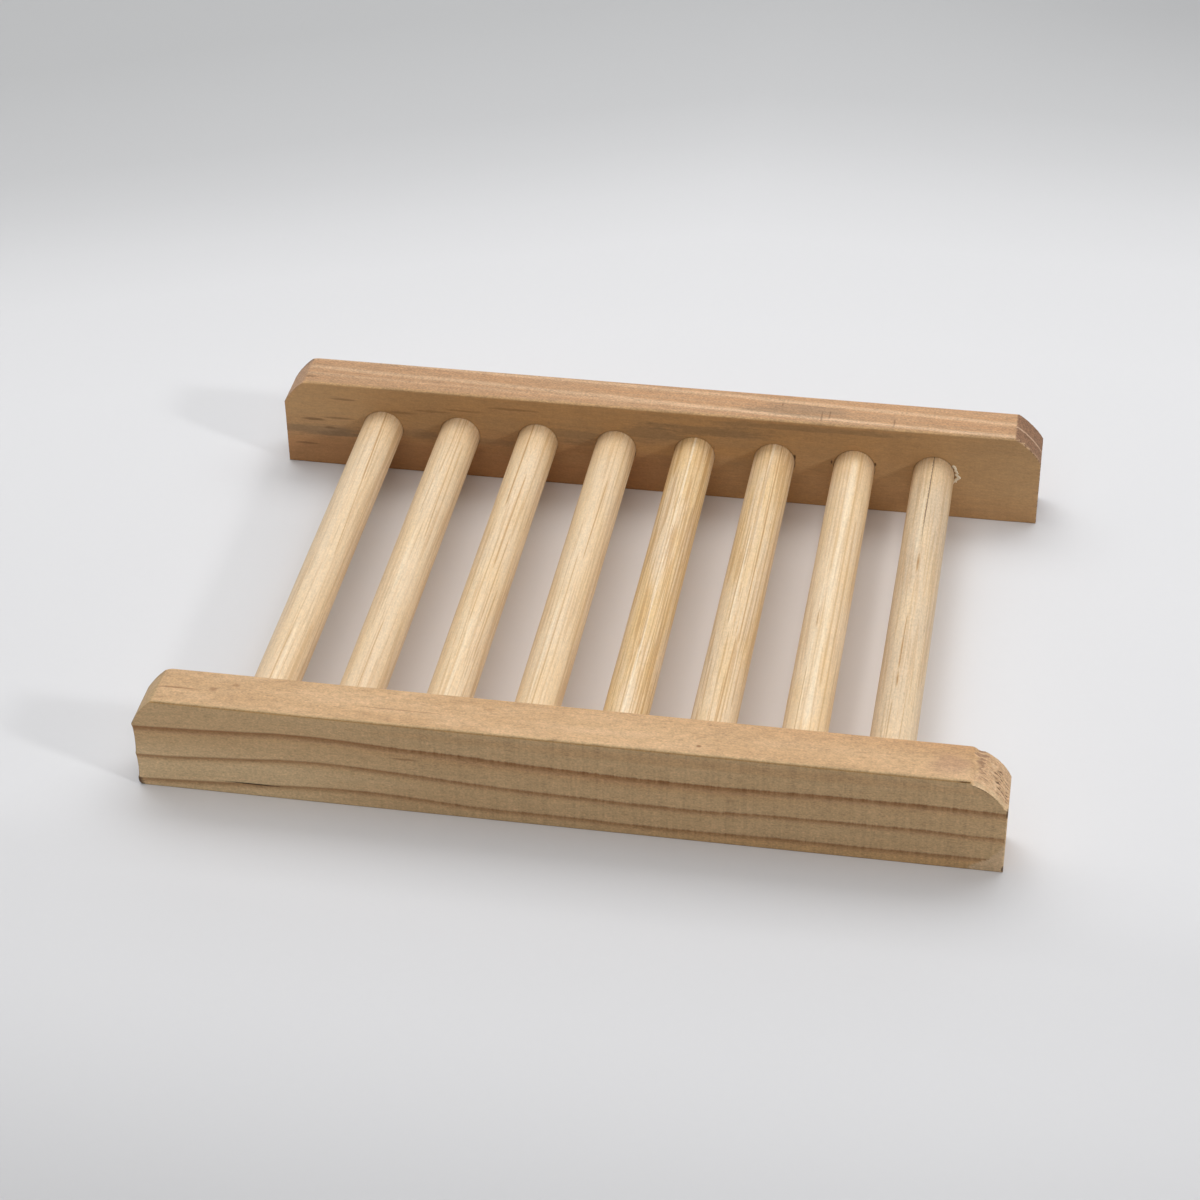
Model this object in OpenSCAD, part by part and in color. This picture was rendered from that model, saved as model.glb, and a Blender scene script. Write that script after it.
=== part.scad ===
// Wooden soap dish: two rails on edge, joined by a row of round dowels glued into blind sockets.
// Millimetres. X runs along the rails, Y from the front rail to the back rail, Z up.
// The origin is on the surface that the dish stands on, at the middle of the dish.

/* [Dish] */
// Length of the dish, which is the length of each rail
dish_l = 120; // [100:1:180]
// Width of the dish over the outer faces of its rails
dish_w = 90; // [60:1:140]

/* [Rails] */
// Thickness of a rail, from its outer face to its inner face
rail_t = 7.5; // [6.5:0.5:15]
// Height of a rail
rail_h = 15.2; // [12:0.2:30]
// Width of the eased edges that run along a rail
rail_ease = 0.3; // [0.1:0.1:0.8]

/* [Rail corners] */
// Reach of the rounding along the top, at the left end of both rails
left_corner_l = 3.4; // [2:0.2:8]
// Reach of the rounding along the top, at the right end of the front rail
front_right_corner_l = 5.4; // [2:0.2:8]
// Reach of the rounding along the top, at the right end of the back rail
back_right_corner_l = 4; // [2:0.2:8]
// Reach of the rounding down both ends of the front rail
front_corner_h = 4.5; // [2:0.1:6]
// Reach of the rounding down both ends of the back rail
back_corner_h = 4; // [2:0.1:6]
// Radius of the arc that rounds a corner
corner_r = 12; // [8:0.5:40]

/* [Dowels] */
// Number of dowels
dowel_count = 8; // [2:1:9]
// Diameter of a dowel
dowel_d = 6.5; // [4:0.1:8]
// Distance from the end of a rail to the axis of the first dowel
dowel_inset = 16.25; // [10:0.25:24]
// Width of the bevel round each end of a dowel
dowel_bevel = 0.4; // [0.2:0.1:1]

/* [Sockets] */
// Depth of a socket, from the inner face of a rail
socket_depth = 5; // [3:0.5:6.5]
// Gap all round between a dowel and its socket
socket_gap = 0.08; // [0.02:0.02:0.3]
// Thickness of the glue between a dowel and the bottom of its socket
glue_t = 0.5; // [0.2:0.1:1]

/* [Hidden] */
dowel_names = [for (i = [1 : dowel_count]) str("dowel_", i)];

$fn = 128;
// Distance that a cut runs past the face it opens
overrun = 1;

front_rail_colour = "#B99A6F";
back_rail_colour = "#A9845A";
dowel_colour = "#E6CDA4";
glue_colour = "#D9C48F";

// Dowels run at half the height of the rails
dowel_z = rail_h / 2;
dowel_r = dowel_d / 2;
dowel_pitch = (dish_l - 2 * dowel_inset) / (dowel_count - 1);
first_dowel_x = dowel_inset - dish_l / 2;

// Places across the dish, measured from its middle
inner_face_y = dish_w / 2 - rail_t;
socket_floor_y = inner_face_y + socket_depth;
dowel_end_y = socket_floor_y - glue_t;

function dowel_x(place) = first_dowel_x + place * dowel_pitch;

// Middle of the straight line between the two ends of a corner's arc
function chord_middle(reach_l, reach_h) = [dish_l / 2 - reach_l / 2, rail_h - reach_h / 2];
// Distance from there to the centre of the arc
function centre_distance(reach_l, reach_h) = sqrt(pow(corner_r, 2) - (pow(reach_l, 2) + pow(reach_h, 2)) / 4);
// Direction from there to the centre, into the rail
function into_rail(reach_l, reach_h) = -[reach_h, reach_l] / norm([reach_h, reach_l]);
function arc_centre(reach_l, reach_h) =
    chord_middle(reach_l, reach_h) + into_rail(reach_l, reach_h) * centre_distance(reach_l, reach_h);

// What is rounded off the right top corner of a rail's side outline
module corner_waste(reach_l, reach_h) {
    difference() {
        translate([dish_l / 2 - reach_l, rail_h - reach_h])
            square([reach_l + overrun, reach_h + overrun]);
        translate(arc_centre(reach_l, reach_h))
            circle(r = corner_r);
    }
}

// Side outline of a rail, seen from the front
module side_outline(left_l, right_l, reach_h) {
    difference() {
        translate([-dish_l / 2, 0])
            square([dish_l, rail_h]);
        corner_waste(right_l, reach_h);
        mirror([1, 0])
            corner_waste(left_l, reach_h);
    }
}

// Cross-section of a rail, with its four long edges eased
module cross_section() {
    polygon([
        [rail_ease, 0],
        [rail_t - rail_ease, 0],
        [rail_t, rail_ease],
        [rail_t, rail_h - rail_ease],
        [rail_t - rail_ease, rail_h],
        [rail_ease, rail_h],
        [0, rail_h - rail_ease],
        [0, rail_ease]
    ]);
}

// Bar that a rail is cut from, with its outer face at Y = 0
module eased_bar() {
    translate([-dish_l / 2, 0, 0])
        rotate([90, 0, 90])
            linear_extrude(dish_l)
                cross_section();
}

// Blind round hole that takes the end of a dowel
module socket() {
    rotate([-90, 0, 0])
        cylinder(r = dowel_r + socket_gap, h = socket_depth + overrun);
}

// Rail with its outer face at Y = 0 and its sockets facing +Y
module rail(left_l, right_l, reach_h) {
    difference() {
        intersection() {
            eased_bar();
            translate([0, rail_t, 0])
                rotate([90, 0, 0])
                    linear_extrude(rail_t)
                        side_outline(left_l, right_l, reach_h);
        }
        for (place = [0 : dowel_count - 1])
            translate([dowel_x(place), rail_t - socket_depth, dowel_z])
                socket();
    }
}

module front_rail() {
    color(front_rail_colour)
        translate([0, -dish_w / 2, 0])
            rail(left_corner_l, front_right_corner_l, front_corner_h);
}

module back_rail() {
    color(back_rail_colour)
        translate([0, dish_w / 2, 0])
            mirror([0, 1, 0])
                rail(left_corner_l, back_right_corner_l, back_corner_h);
}

// Half of a dowel's outline from its axis outwards, turned round that axis
module dowel(place) {
    dowel_l = 2 * dowel_end_y;
    color(dowel_colour)
        translate([dowel_x(place), -dowel_end_y, dowel_z])
            rotate([-90, 0, 0])
                rotate_extrude()
                    polygon([
                        [0, 0],
                        [dowel_r - dowel_bevel, 0],
                        [dowel_r, dowel_bevel],
                        [dowel_r, dowel_l - dowel_bevel],
                        [dowel_r - dowel_bevel, dowel_l],
                        [0, dowel_l]
                    ]);
}

// Pads of set glue between the back ends of the dowels and the floors of their sockets
module glue_pads() {
    for (place = [0 : dowel_count - 1])
        translate([dowel_x(place), dowel_end_y, dowel_z])
            rotate([-90, 0, 0])
                cylinder(r = dowel_r, h = glue_t);
}

module front_socket_glue() {
    color(glue_colour)
        mirror([0, 1, 0])
            glue_pads();
}

module back_socket_glue() {
    color(glue_colour)
        glue_pads();
}

front_rail();
back_rail();
for (place = [0 : dowel_count - 1])
    dowel(place);
front_socket_glue();
back_socket_glue();
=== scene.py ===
import math

import bmesh
import bpy
from mathutils import Matrix, Vector, noise


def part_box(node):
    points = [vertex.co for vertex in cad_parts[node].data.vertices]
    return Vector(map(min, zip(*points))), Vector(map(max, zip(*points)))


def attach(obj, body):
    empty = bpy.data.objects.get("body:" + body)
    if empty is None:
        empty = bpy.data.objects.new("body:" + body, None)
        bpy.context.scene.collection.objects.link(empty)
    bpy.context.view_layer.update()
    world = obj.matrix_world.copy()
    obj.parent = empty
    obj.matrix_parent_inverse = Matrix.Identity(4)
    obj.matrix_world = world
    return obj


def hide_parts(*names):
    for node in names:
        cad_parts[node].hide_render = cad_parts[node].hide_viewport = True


bl_info = {
    "name": "Wooden soap dish",
    "version": (1, 0, 0),
    "blender": (4, 5, 0),
    "location": "3D View > Sidebar > Soap dish",
    "description": "Shapes and finishes the rails, dowels and set glue of a wooden soap dish",
    "category": "Add Mesh",
}

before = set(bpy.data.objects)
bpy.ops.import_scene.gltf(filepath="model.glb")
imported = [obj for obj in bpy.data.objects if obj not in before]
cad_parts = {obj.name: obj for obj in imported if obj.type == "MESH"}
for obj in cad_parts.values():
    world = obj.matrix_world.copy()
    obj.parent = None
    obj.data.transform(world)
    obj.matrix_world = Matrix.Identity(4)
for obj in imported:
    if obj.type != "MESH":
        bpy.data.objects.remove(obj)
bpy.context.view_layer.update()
FRONT_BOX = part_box("front_rail")
BACK_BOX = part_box("back_rail")
DOWEL_NAMES = sorted(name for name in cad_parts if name.startswith("dowel_"))
FIRST_DOWEL_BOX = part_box(DOWEL_NAMES[0])

# Pieces are shaped in millimetres, and brought to metres when they are finished
MM = 0.001

# Half the length of a rail, its top, its outer and inner faces, and the dowels, in millimetres.
# The back rail's faces are at OUTER and INNER, and the front rail's at the same distances below zero.
HALF_LENGTH = FRONT_BOX[1].x / MM
TOP = FRONT_BOX[1].z / MM
OUTER = BACK_BOX[1].y / MM
INNER = BACK_BOX[0].y / MM
DOWEL_RADIUS = (FIRST_DOWEL_BOX[1].z - FIRST_DOWEL_BOX[0].z) / 2 / MM
DOWEL_HEIGHT = (FIRST_DOWEL_BOX[1].z + FIRST_DOWEL_BOX[0].z) / 2 / MM
DOWEL_LENGTH = (FIRST_DOWEL_BOX[1].y - FIRST_DOWEL_BOX[0].y) / MM

# How near an edge has to be to be chosen, and two corners to be one, in millimetres
NEAR = 0.01
TOUCHING = 0.001

# Height that the top of a curve stands for, in millimetres, and the angle below which surfaces are smooth
CURVE_TOP = 20
SMOOTH_ANGLE = math.radians(32)

# How far each dowel sits to the right of its even place, at the front rail and at the back rail
DOWEL_SHIFTS = (
    (-0.02, -0.20),
    (-0.16, -0.18),
    (-0.08, -0.12),
    (0.0, -0.08),
    (0.0, -0.05),
    (-0.22, 0.05),
    (0.05, 0.10),
    (-0.34, -0.04),
)

# Height of the three dark growth lines on the front rail's outer face, at places along the rail
GROWTH_LINES = (
    (
        (-60, 10.25), (-53, 10.6), (-44, 11.05), (-38, 11.4), (-32, 11.4), (-23, 10.95), (-15, 10.7),
        (0, 10.1), (14, 9.85), (21, 9.8), (29, 10.0), (42, 10.2), (60, 10.1),
    ),
    (
        (-60, 5.4), (-53, 5.7), (-44, 6.4), (-38, 6.9), (-31, 7.0), (-23, 6.7), (-15, 6.2),
        (-7, 5.85), (0, 5.7), (12, 5.45), (21, 5.45), (29, 5.8), (42, 5.95), (60, 5.8),
    ),
    (
        (-60, 1.15), (-53, 1.5), (-44, 2.0), (-34, 2.6), (-26, 2.7), (-19, 2.4),
        (-11, 2.0), (0, 1.9), (17, 1.7), (29, 1.9), (42, 1.95), (60, 2.0),
    ),
)

# How far the redder wood reaches under each of these lines, how far the line is raised, and its strength
GROWTH_LINE_LOOKS = ((1.0, 0.20, 0.86), (0.6, 0.12, 0.72), (0.6, 0.10, 0.68))

# Dark marks on the front rail, and the two slivers on the upright edge of its right end: centre, reach and
# strength of each, in millimetres
FRONT_MARKS = (
    ((-53.8, -41.6, TOP), (2.9, 0.16, 0.5), 1.0),
    ((-22.5, -41.8, TOP), (5.6, 0.12, 0.5), 0.7),
    ((-48.9, -41.2, TOP), (0.5, 0.32, 0.4), 0.7),
    ((-46.0, -39.9, TOP), (0.5, 0.28, 0.4), 0.7),
    ((-21.5, -OUTER, 9.25), (1.5, 0.4, 0.18), 0.8),
)
SPLITS = (
    ((HALF_LENGTH, -44.9, 10.2), (0.22, 0.7, 0.7), 1.0),
    ((HALF_LENGTH, -44.9, 0.6), (0.26, 0.7, 0.5), 1.0),
)

# Marks on the back rail, given the same way: grey stains, dark dashes near the left end and above the first
# dowels, saw ticks across the top, small pits in the right half of the inner face, and patches of warmer wood
STAINS = (
    ((-54.5, INNER, 6.3), (6.5, 1.5, 0.9), 0.8),
    ((-49.8, INNER, 5.9), (3.6, 1.5, 0.45), 0.9),
    ((-38.5, INNER, 7.2), (4.6, 1.0, 0.7), 0.6),
    ((-26.0, INNER, 6.8), (5.5, 1.0, 0.6), 0.45),
    ((-13.5, INNER, 9.2), (4.5, 1.0, 1.3), 0.55),
    ((-1.0, INNER, 11.0), (4.4, 1.0, 1.6), 0.55),
    ((9.5, INNER, 12.3), (9.0, 1.0, 0.9), 0.7),
    ((22.5, INNER, 14.1), (13.0, 1.0, 0.55), 0.6),
    ((22.0, 41.0, TOP), (6.5, 1.7, 0.6), 0.6),
)
END_DASHES = (
    ((-55.4, INNER, 8.4), (1.5, 1.0, 0.22), 1.0),
    ((-52.6, INNER, 7.0), (0.9, 1.0, 0.2), 0.8),
    ((-56.6, INNER, 3.7), (1.7, 1.0, 0.2), 0.8),
    ((-50.0, INNER, 12.5), (2.0, 1.0, 0.2), 0.8),
    ((-51.0, INNER, 8.9), (2.4, 1.0, 0.2), 0.8),
)
UPPER_DASHES = (
    ((-40.5, INNER, 10.9), (2.4, 1.0, 0.2), 0.6),
    ((-36.0, INNER, 11.6), (3.0, 1.0, 0.2), 0.6),
    ((-30.5, INNER, 12.2), (2.8, 1.0, 0.2), 0.6),
    ((-23.0, INNER, 13.2), (4.0, 1.0, 0.2), 0.6),
)
SAW_TICKS = (
    ((19.4, 42.2, TOP), (0.14, 0.35, 0.5), 0.8),
    ((25.8, 39.6, TOP), (0.14, 1.3, 0.5), 0.8),
    ((27.0, 40.4, TOP), (0.14, 1.0, 0.5), 0.8),
    ((37.1, 39.6, TOP), (0.14, 0.9, 0.5), 0.8),
)
PITS = (
    ((9.3, INNER, 9.2), (0.14, 1.0, 0.4), 0.3),
    ((22.0, INNER, 8.7), (0.2, 1.0, 0.45), 1.0),
    ((27.8, INNER, 8.4), (0.14, 1.0, 0.3), 1.0),
    ((34.6, INNER, 8.6), (0.16, 1.0, 0.3), 1.0),
)
WARM_PATCHES = (
    ((1.0, INNER, 7.9), (5.0, 1.0, 0.9), 1.0),
    ((13.0, INNER, 8.6), (5.0, 1.0, 1.1), 1.0),
)

# Crumbs of glue squeezed out beside the last dowel: place along the rail, height and radius of each
GLUE_CRUMBS = (
    (46.65, 9.50, 0.20), (46.85, 9.30, 0.26), (47.05, 9.00, 0.22), (46.95, 8.70, 0.18),
    (47.20, 8.55, 0.20), (47.35, 8.20, 0.18), (47.15, 7.95, 0.20), (47.45, 7.70, 0.22),
    (47.70, 7.45, 0.24), (47.40, 7.25, 0.26), (47.10, 7.00, 0.24), (46.90, 6.70, 0.22),
    (47.25, 6.65, 0.14), (46.75, 6.35, 0.16),
)

# Lamps: name, name of the power in the stage's settings, width, depth and place of each, in metres
LAMPS = (
    ("overhead_lamp", "overhead_power", 1.2, 1.1, (0.0, 0.15, 1.0)),
    ("high_left_lamp", "high_power", 0.35, 0.35, (-0.30, 0.15, 1.05)),
    ("back_lamp", "back_power", 2.6, 0.6, (0.0, 0.65, 1.0)),
    ("low_back_lamp", "low_power", 1.6, 0.5, (0.0, 1.1, 0.5)),
    ("front_lamp", "front_power", 1.2, 0.6, (0.0, -0.75, 0.9)),
    ("left_lamp", "left_power", 0.8, 1.0, (-0.85, 0.10, 0.9)),
    ("right_lamp", "right_power", 0.12, 0.12, (0.95, -0.40, 0.58)),
)


def tint(red, green, blue):
    """A colour from its display values, 0 to 255, as the linear numbers that a socket takes."""
    linear = []
    for value in (red / 255, green / 255, blue / 255):
        linear.append(value / 12.92 if value <= 0.04045 else ((value + 0.055) / 1.055) ** 2.4)
    return tuple(linear)


def length(name, description, default):
    return bpy.props.FloatProperty(
        name=name, description=description, default=default, min=0.0, unit="LENGTH", subtype="DISTANCE"
    )


def colour(name, description, default):
    return bpy.props.FloatVectorProperty(
        name=name, description=description, default=default, size=3, min=0.0, max=1.0, subtype="COLOR"
    )


def power(name, description, default):
    return bpy.props.FloatProperty(
        name=name, description=description, default=default, min=0.0, unit="POWER"
    )


class RailSizes(bpy.types.PropertyGroup):
    left_reach: length("Left reach", "Reach along the top of both left corners", 0.0034)
    front_right_reach: length("Front right reach", "Reach along the top of the front right corner", 0.0054)
    back_right_reach: length("Back right reach", "Reach along the top of the back right corner", 0.004)
    front_drop: length("Front drop", "Reach of the front rail's corners down its ends", 0.0045)
    back_drop: length("Back drop", "Reach of the back rail's corners down its ends", 0.004)
    corner_radius: length("Corner radius", "Radius of the arc that rounds a corner", 0.012)
    torn_radius: length("Torn radius", "Radius of the arc at the front rail's torn right end", 0.0075)
    ease: length("Eased edge", "Width of the eased edges of a rail", 0.0002)
    soft_corner: length("Soft corner", "Rounding where the left corner's arc leaves the top", 0.0011)
    worn_corner: length("Worn corner", "Wear of the front rail's bottom left corner", 0.0007)
    facets: bpy.props.IntProperty(
        name="Flats", description="Number of flats that round a top corner", default=14, min=4, max=32
    )


class DowelSizes(bpy.types.PropertyGroup):
    bevel: length("Bevel", "Width of the bevel round each end of a dowel", 0.0004)
    socket_depth: length("Socket depth", "Depth of a socket from the inner face of a rail", 0.005)
    socket_gap: length("Socket gap", "Gap all round between a dowel and its socket", 0.00008)
    sides: bpy.props.IntProperty(
        name="Sides", description="Number of sides round a dowel", default=96, min=24, max=192
    )


class DishColours(bpy.types.PropertyGroup):
    front_wood: colour("Front rail", "Plain wood of the front rail", tint(208, 171, 129))
    front_olive: colour("Front rail, olive", "Olive wood of the front rail's outer face", tint(205, 173, 129))
    front_line: colour("Growth line", "Dark growth lines of the front rail", tint(146, 100, 60))
    front_shade: colour("Growth shade", "Redder wood under a growth line", tint(194, 146, 98))
    back_wood: colour("Back rail", "Plain wood of the back rail", tint(194, 154, 116))
    back_pale: colour("Back rail, pale", "Pale stripes of the back rail", tint(214, 178, 142))
    back_olive: colour("Back rail, olive", "Olive brown wood high on the inner face", tint(190, 152, 104))
    # Redder wood and painted shade low on the inner face
    back_brown_and_shade: colour("Back rail, brown", "Redder wood low on the inner face", tint(170, 122, 80))
    stain: colour("Stain", "Grey stain in the back rail", tint(112, 98, 80))
    dowel_wood: colour("Dowel", "Plain wood of the dowels", tint(234, 208, 173))
    dowel_line: colour("Dowel lines", "Fine lines along the dowels", tint(184, 138, 82))
    glue: colour("Glue", "Set glue", tint(234, 218, 190))


class StageSettings(bpy.types.PropertyGroup):
    floor_near: colour("Floor", "Colour of the floor near the dish", (0.757, 0.758, 0.772))
    # Painted warm light on the floor between the rails
    floor_warm_light: colour("Floor, between", "Colour of the floor between the rails", (0.805, 0.725, 0.665))
    # Painted shade of the floor far behind the dish and far back on the right
    floor_far_shade: colour("Floor, far", "Colour of the floor far behind the dish", (0.445, 0.45, 0.455))
    floor_corner_shade: colour("Floor, corner", "Colour of the floor far back on the right", (0.24, 0.24, 0.25))
    backdrop: colour("Backdrop", "Colour that shows past the floor", (0.62, 0.63, 0.64))
    overhead_power: power("Overhead lamp", "Power of the large lamp above the dish", 3.8)
    high_power: power("High left lamp", "Power of the small lamp high on the left", 0.96)
    back_power: power("Back lamp", "Power of the wide lamp above and behind the dish", 10.25)
    low_power: power("Low back lamp", "Power of the wide lamp low behind the dish", 2.2)
    front_power: power("Front lamp", "Power of the large lamp above and in front of the dish", 2.75)
    left_power: power("Left lamp", "Power of the large lamp above and left of the dish", 0.67)
    right_power: power("Right lamp", "Power of the small lamp in front and right of the dish", 3.4)
    fill: bpy.props.FloatProperty(
        name="Fill", description="Brightness of the even light all round", default=0.0, min=0.0, max=1.0
    )
    aim: bpy.props.FloatVectorProperty(
        name="Aim", description="Point that the camera looks at",
        default=(-0.003755, 0.007480, 0.0), size=3, unit="LENGTH", subtype="TRANSLATION"
    )
    azimuth: bpy.props.FloatProperty(
        name="Azimuth", description="Turn of the camera to the right of straight ahead",
        default=math.radians(10.428), subtype="ANGLE"
    )
    elevation: bpy.props.FloatProperty(
        name="Elevation", description="Height of the camera above the horizon",
        default=math.radians(36.337), subtype="ANGLE"
    )
    roll: bpy.props.FloatProperty(
        name="Roll", description="Turn of the camera about its own line of sight",
        default=math.radians(0.993), subtype="ANGLE"
    )
    distance: length("Distance", "Distance from the camera to the point that it looks at", 0.443204)
    lens: bpy.props.FloatProperty(
        name="Lens", description="Focal length for a sensor 36 mm wide",
        default=88.05, min=1.0, unit="CAMERA"
    )


class Number:
    """What a node gives, such as a number that changes over a surface. Sums and products add Math nodes."""

    def __init__(self, nodes, socket):
        self.nodes = nodes
        self.socket = socket

    def __add__(self, other):
        return self.nodes.math("ADD", self, other)

    __radd__ = __add__

    def __sub__(self, other):
        return self.nodes.math("SUBTRACT", self, other)

    def __rsub__(self, other):
        return self.nodes.math("SUBTRACT", other, self)

    def __mul__(self, other):
        return self.nodes.math("MULTIPLY", self, other)

    __rmul__ = __mul__


class Tree:
    """A node tree, emptied, whose nodes are all added by one method."""

    def __init__(self, tree):
        self.tree = tree
        self.tree.nodes.clear()

    def node(self, kind, settings, sockets, output=0):
        """Adds a node: first its settings, then the values and links of its sockets."""
        made = self.tree.nodes.new(kind)
        for name, value in settings.items():
            if name == "stops":
                set_stops(made.color_ramp.elements, value)
            elif name == "points":
                set_points(made.mapping, value)
            else:
                setattr(made, name, value)
        for name, value in sockets.items():
            if isinstance(value, Number):
                self.tree.links.new(value.socket, made.inputs[name])
            else:
                made.inputs[name].default_value = value
        return Number(self, made.outputs[output]) if len(made.outputs) else None

    def math(self, operation, first, second):
        return self.node("ShaderNodeMath", {"operation": operation}, {0: first, 1: second})


class Finish(Tree):
    """A material drawn by nodes on the coordinates of its piece."""

    def __init__(self, name):
        self.material = bpy.data.materials.new(name)
        self.material.use_nodes = True
        super().__init__(self.material.node_tree)
        self.place = self.node("ShaderNodeTexCoord", {}, {}, "Object")

    def axis(self, name):
        """One coordinate of the piece, in millimetres."""
        return self.node("ShaderNodeSeparateXYZ", {}, {"Vector": self.place}, name) * (1 / MM)

    def stretch(self, scale, shift):
        """The coordinates of the piece, scaled and shifted."""
        settings = {"operation": "MULTIPLY_ADD"}
        return self.node("ShaderNodeVectorMath", settings, {0: self.place, 1: scale, 2: shift})

    def noise(self, per_mm, shift=0.0, detail=2.0, roughness=0.5):
        """Noise from 0 to 1 with so many features in a millimetre along each axis."""
        where = self.stretch([count / MM for count in per_mm], (shift, shift, shift))
        sockets = {"Vector": where, "Scale": 1.0, "Detail": detail, "Roughness": roughness}
        return self.node("ShaderNodeTexNoise", {}, sockets)

    def rise(self, value, low, high):
        """0 below low, 1 above high and smooth between. It falls where low is the greater."""
        settings = {"interpolation_type": "SMOOTHSTEP"}
        return self.node("ShaderNodeMapRange", settings, {"Value": value, 1: low, 2: high})

    def band(self, value, low, high, soft):
        """1 between low and high, and 0 outside them."""
        return self.rise(value, low - soft, low + soft) * self.rise(value, high + soft, high - soft)

    def ramp(self, value, stops):
        """A ramp whose stops are given at values of the number itself."""
        low = stops[0][0]
        high = stops[-1][0]
        shares = [((at - low) / (high - low), shade) for at, shade in stops]
        share = (value - low) * (1 / (high - low))
        return self.node("ShaderNodeValToRGB", {"stops": shares}, {"Fac": share})

    def curve(self, value, points):
        """A smooth curve through points, given in millimetres both ways."""
        low = points[0][0]
        high = points[-1][0]
        shares = [((at - low) / (high - low), height / CURVE_TOP) for at, height in points]
        share = (value - low) * (1 / (high - low))
        return self.node("ShaderNodeFloatCurve", {"points": shares}, {"Value": share}) * CURVE_TOP

    def spot(self, centre, reach, ragged=None, soft=0.5):
        """1 in a rounded patch with so great a reach along each axis, and 0 outside it."""
        scale = [1 / MM / size for size in reach]
        shift = [-at / size for at, size in zip(centre, reach)]
        place = self.stretch(scale, shift)
        far = self.node("ShaderNodeVectorMath", {"operation": "LENGTH"}, {0: place}, "Value")
        if ragged is not None:
            far = far + ragged
        return self.rise(far, 1.0 + soft, 1.0 - soft)

    def spots(self, places, ragged, soft=0.5):
        """The sum of spots, each given by its centre, its reach and its strength."""
        return sum(
            self.spot(centre, reach, ragged, soft) * strength for centre, reach, strength in places
        )

    def mix(self, factor, first, second):
        """The second colour laid over the first."""
        sockets = {0: factor, 6: opaque(first), 7: opaque(second)}
        return self.node("ShaderNodeMix", {"data_type": "RGBA"}, sockets, 2)

    def brighten(self, shade, factor):
        return self.node("ShaderNodeVectorMath", {"operation": "SCALE"}, {0: shade, "Scale": factor})

    def surface(self, shade, roughness, height, bump, depth, specular):
        """Ends the finish. Bump and depth say how strongly the height shows, and how deep it is in mm."""
        sockets = {"Strength": bump, "Distance": depth * MM, "Height": height}
        normal = self.node("ShaderNodeBump", {}, sockets)
        sockets = {
            "Base Color": shade,
            "Roughness": roughness,
            "Specular IOR Level": specular,
            "Normal": normal,
        }
        shader = self.node("ShaderNodeBsdfPrincipled", {}, sockets)
        self.node("ShaderNodeOutputMaterial", {}, {"Surface": shader})
        return self.material


def opaque(shade):
    return shade if isinstance(shade, Number) else (*shade, 1.0)


def set_stops(elements, stops):
    while len(elements) > 1:
        elements.remove(elements[-1])
    elements[0].position = stops[0][0]
    elements[0].color = (stops[0][1],) * 3 + (1.0,)
    for position, shade in stops[1:]:
        elements.new(position).color = (shade,) * 3 + (1.0,)


def set_points(mapping, points):
    curve = mapping.curves[0]
    curve.points[0].location = points[0]
    curve.points[1].location = points[-1]
    for at, height in points[1:-1]:
        curve.points.new(at, height)
    mapping.update()


def select_only(piece):
    bpy.ops.object.select_all(action="DESELECT")
    piece.select_set(True)
    bpy.context.view_layer.objects.active = piece


def added(name):
    """Names the primitive that was just added, and puts its size and place into its mesh."""
    piece = bpy.context.active_object
    piece.name = name
    piece.data.name = name
    bpy.ops.object.transform_apply(location=True, rotation=True, scale=True)
    return piece


def apply_modifier(piece, kind, **settings):
    modifier = piece.modifiers.new(kind.title(), kind)
    for name, value in settings.items():
        setattr(modifier, name, value)
    bpy.ops.object.modifier_apply(modifier=modifier.name)


def select_edges(piece, chosen):
    """In edit mode, selects the edges that pass the test of their two ends."""
    bpy.ops.mesh.select_mode(type="EDGE")
    bpy.ops.mesh.select_all(action="DESELECT")
    shape = bmesh.from_edit_mesh(piece.data)
    for edge in shape.edges:
        edge.select_set(chosen(edge.verts[0].co, edge.verts[1].co))
    shape.select_flush_mode()
    bmesh.update_edit_mesh(piece.data)


def cut_off(point, normal):
    bpy.ops.mesh.select_all(action="SELECT")
    bpy.ops.mesh.bisect(plane_co=point, plane_no=normal, use_fill=True, clear_outer=True)


def score(axis, places):
    """Runs lines round the whole piece, square to an axis."""
    for place in places:
        point = [0.0, 0.0, 0.0]
        normal = [0.0, 0.0, 0.0]
        point[axis] = place
        normal[axis] = 1.0
        bpy.ops.mesh.select_all(action="SELECT")
        bpy.ops.mesh.bisect(plane_co=point, plane_no=normal)


def spaced(start, end, step):
    count = max(1, round((end - start) / step))
    return [start + (end - start) * index / count for index in range(count + 1)]


def corner_arc(half, top, reach, drop, radius):
    """Centre, first angle and last angle of the arc that rounds a right top corner."""
    chord = math.hypot(reach, drop)
    inwards = math.sqrt(radius * radius - chord * chord / 4)
    centre_x = half - reach / 2 - drop / chord * inwards
    centre_z = top - drop / 2 - reach / chord * inwards
    first = math.atan2(top - centre_z, half - reach - centre_x)
    last = math.atan2(top - drop - centre_z, half - centre_x)
    return centre_x, centre_z, first, last


def round_corner(side, arc, radius, facets):
    """Cuts the flats of a rounded corner. Side is 1 at the right end and -1 at the left end."""
    centre_x, centre_z, first, last = arc
    for index in range(facets):
        angle = first + (last - first) * (index + 0.5) / facets
        depth = radius * math.cos((last - first) / facets / 2)
        out = Vector((side * math.cos(angle), 0.0, math.sin(angle)))
        cut_off(Vector((side * centre_x, 0.0, centre_z)) + out * depth, out)


def weigh(piece, name, weight):
    """A vertex group whose weights a function of the place gives, in millimetres."""
    group = piece.vertex_groups.new(name=name)
    for vertex in piece.data.vertices:
        value = weight(vertex.co.x, vertex.co.y, vertex.co.z)
        if value > 0.001:
            group.add([vertex.index], min(1.0, value), "REPLACE")
    return group


def everywhere(x, y, z):
    return 1.0


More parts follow.
